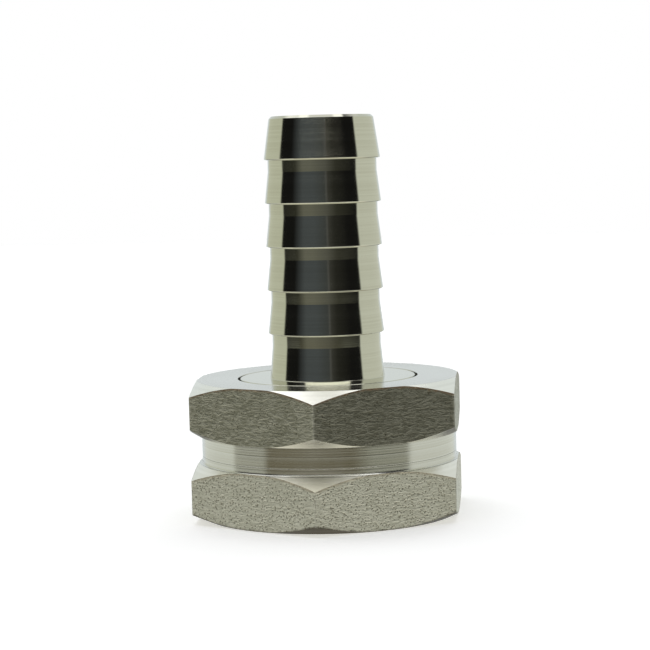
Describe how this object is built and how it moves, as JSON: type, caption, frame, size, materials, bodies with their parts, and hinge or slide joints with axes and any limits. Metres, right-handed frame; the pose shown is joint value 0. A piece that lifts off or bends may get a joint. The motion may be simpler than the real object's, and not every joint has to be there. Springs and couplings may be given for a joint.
{
  "type": "carbon dioxide diffuser",
  "caption": "Upright metal gas diffuser: a barbed hose tail swivels in a hexagonal union nut on a hexagonal body with a porous outlet disc underneath.",
  "frame": {"origin": "centre of the base face that the diffuser stands on", "axes": "+Z along the common axis of every round piece, towards the hose end; the hexagons have flats facing +X and -X and corners on +Y and -Y"},
  "size_m": [0.032, 0.037, 0.0492],
  "materials": {
    "bar_stainless": "pickled hexagon bar with turned chamfers and band",
    "turned_stainless": "fine turned, bright",
    "sintered_stainless": "sintered, matt and porous",
    "spring_steel": "drawn wire and stamped strip",
    "silicone": "translucent white, satin",
    "black_rubber": "moulded, satin",
    "white_acetal": "turned, satin"
  },
  "bodies": {
    "housing": {"outlet_body": "bar_stainless", "retaining_ring": "turned_stainless", "diffuser_disc": "sintered_stainless", "disc_lower_seal": "silicone", "disc_upper_seal": "silicone", "face_gasket": "black_rubber"},
    "swivel": {"swivel_ring": "spring_steel"},
    "nut": {"union_nut": "bar_stainless"},
    "tail": {"hose_tail": "turned_stainless", "inlet_screen": "turned_stainless", "valve_sleeve": "white_acetal", "sleeve_oring": "black_rubber", "valve_guide": "white_acetal", "valve_circlip": "spring_steel", "valve_spring": "spring_steel"},
    "poppet": {"valve_poppet": "turned_stainless", "poppet_oring": "black_rubber"}
  },
  "joints": [
    {"name": "nut_lift", "type": "slide", "parent": "housing", "child": "swivel", "axis": [0, 0, 1], "range_m": [0, 0.0034]},
    {"name": "nut_turn", "type": "hinge", "parent": "swivel", "child": "nut", "pos_m": [0, 0, 0.0153], "axis": [0, 0, 1], "range_deg": [0, 810]},
    {"name": "tail_swivel", "type": "hinge", "parent": "swivel", "child": "tail", "pos_m": [0, 0, 0.0153], "axis": [0, 0, 1], "continuous": true},
    {"name": "valve_open", "type": "slide", "parent": "tail", "child": "poppet", "axis": [0, 0, -1], "range_m": [0, 0.002], "stiffness_N_per_m": 120, "springref_m": -0.002, "deforming": ["valve_spring"]}
  ],
  "couplings": [
    {"joint": "nut_lift", "follows": "nut_turn", "m_per_rad": 0.00023873}
  ]
}
